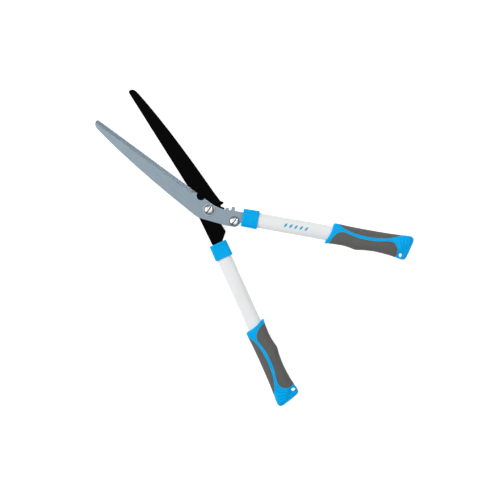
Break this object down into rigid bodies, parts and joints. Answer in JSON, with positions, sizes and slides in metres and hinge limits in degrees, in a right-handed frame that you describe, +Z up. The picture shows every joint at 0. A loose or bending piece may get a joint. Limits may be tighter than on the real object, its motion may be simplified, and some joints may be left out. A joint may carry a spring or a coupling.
{
  "type": "hedge shears",
  "caption": "Hand hedge shears: crossed straight blades on a tensioned pivot bolt with a rubber buffer, oval tube handles and soft-padded moulded grips.",
  "frame": {"origin": "middle of the base of the bounding box, with the shears lying flat", "axes": "+Y towards the blade tips along the line midway between the open cutting edges, +Z up out of the blades' flat faces, on the bright blade's side"},
  "size_m": [0.3402, 0.5384, 0.027],
  "materials": {
    "ground_steel": "ground, satin, with a brighter bevel along the edge",
    "black_coating": "non-stick black coating, satin",
    "white_tube": "white enamel, semi-gloss",
    "blue_plastic": "moulded, fine grain",
    "soft_grip": "matt soft-touch moulding",
    "plug_plastic": "moulded",
    "buffer_rubber": "matt",
    "nylon": "moulded",
    "zinc_plate": "bright zinc plate"
  },
  "bodies": {
    "rear_half": {"rear_blade": "black_coating", "rear_collar": "blue_plastic", "rear_tang_plug": "plug_plastic", "rear_tang_pin": "zinc_plate", "rear_tube": "white_tube", "rear_grip_body": "blue_plastic", "rear_palm_pad": "soft_grip", "rear_finger_pad": "soft_grip", "pivot_bolt": "zinc_plate", "pivot_head_washer": "zinc_plate", "pivot_wave_washer": "zinc_plate", "pivot_nut_washer": "zinc_plate", "pivot_lock_nut": "zinc_plate", "pivot_nut_nylon_ring": "nylon"},
    "front_half": {"front_blade": "ground_steel", "pivot_bush": "nylon", "bumper_screw": "zinc_plate", "bumper_rubber": "buffer_rubber", "bumper_washer": "zinc_plate", "bumper_nut": "zinc_plate", "front_collar": "blue_plastic", "front_tang_plug": "plug_plastic", "front_tang_pin": "zinc_plate", "front_tube": "white_tube", "front_grip_body": "blue_plastic", "front_palm_pad": "soft_grip", "front_finger_pad": "soft_grip"}
  },
  "joints": [
    {"name": "blade_pivot", "type": "hinge", "parent": "rear_half", "child": "front_half", "pos_m": [-0.0387, 0.04197, 0.0135], "axis": [0, 0, 1], "range_deg": [-19.2, 95]}
  ]
}
